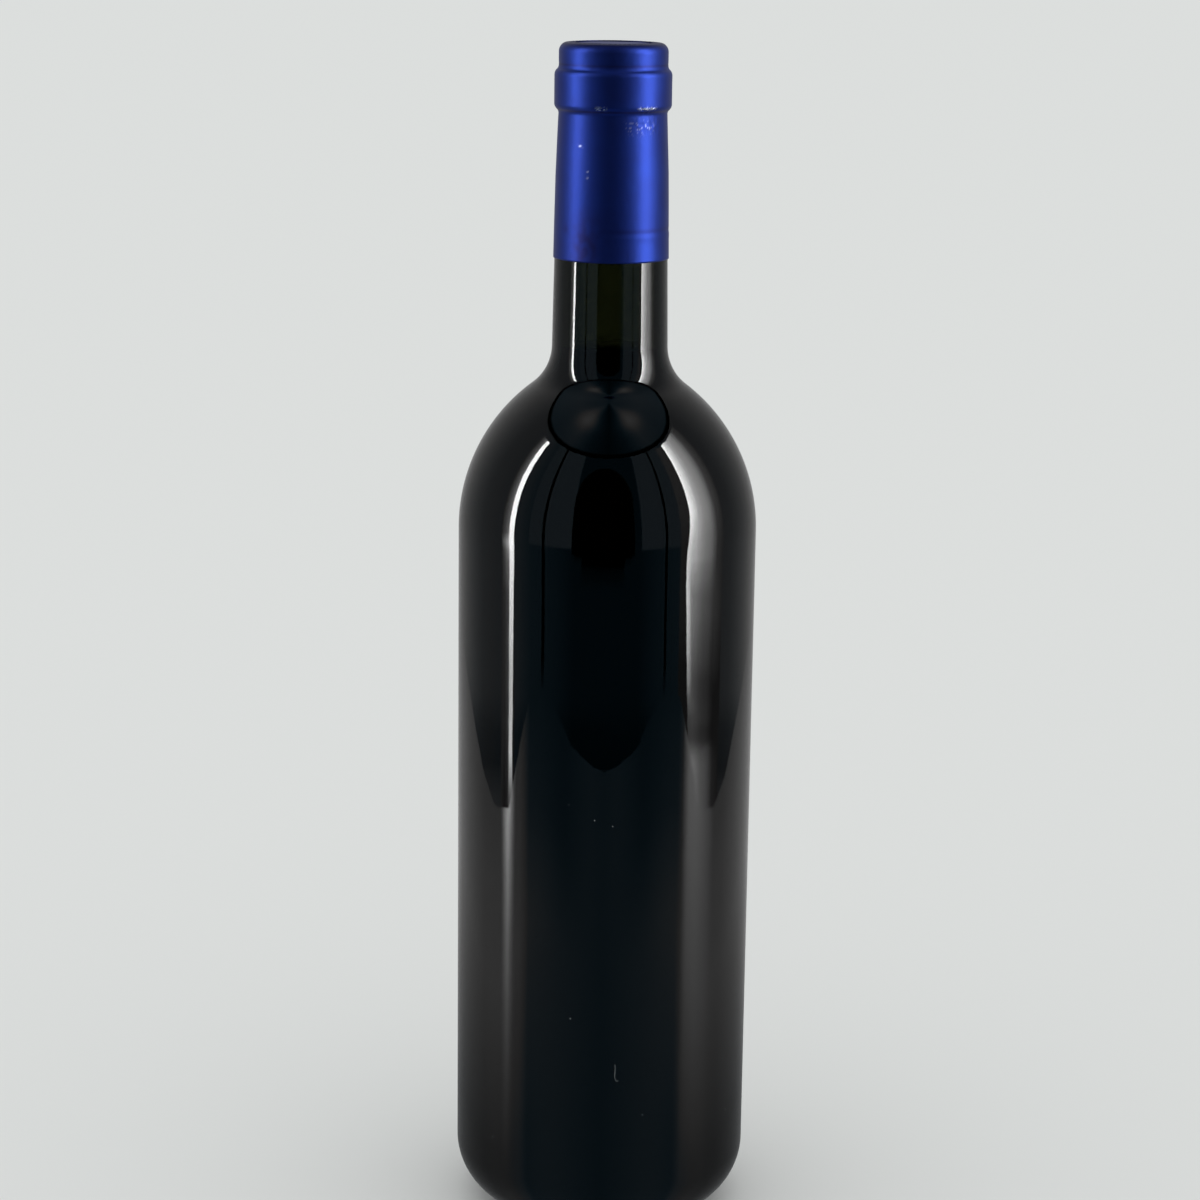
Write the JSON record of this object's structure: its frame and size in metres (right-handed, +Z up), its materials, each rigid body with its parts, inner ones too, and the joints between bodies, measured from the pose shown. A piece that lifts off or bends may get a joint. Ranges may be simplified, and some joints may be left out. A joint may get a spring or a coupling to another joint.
{
  "type": "wine bottle",
  "caption": "Full, sealed Bordeaux-shaped bottle of red wine in near-black green glass, with a straight body, round shoulders and a blue foil capsule over the mouth.",
  "frame": {"origin": "centre of the ring that the bottle stands on, in the plane of the table", "axes": "+Z up along the bottle's axis, towards the mouth; the bottle is round, so +X and +Y are any two square directions"},
  "size_m": [0.0775, 0.0774, 0.3101],
  "materials": {
    "dark_glass": "gloss, near-black olive green",
    "red_wine": "liquid, near-black red",
    "blue_foil": "satin metallic ultramarine",
    "disc_foil": "satin dark blue"
  },
  "bodies": {
    "root": {"bottle": "dark_glass", "wine": "red_wine", "capsule": "blue_foil", "top_disc": "disc_foil"}
  },
  "joints": []
}
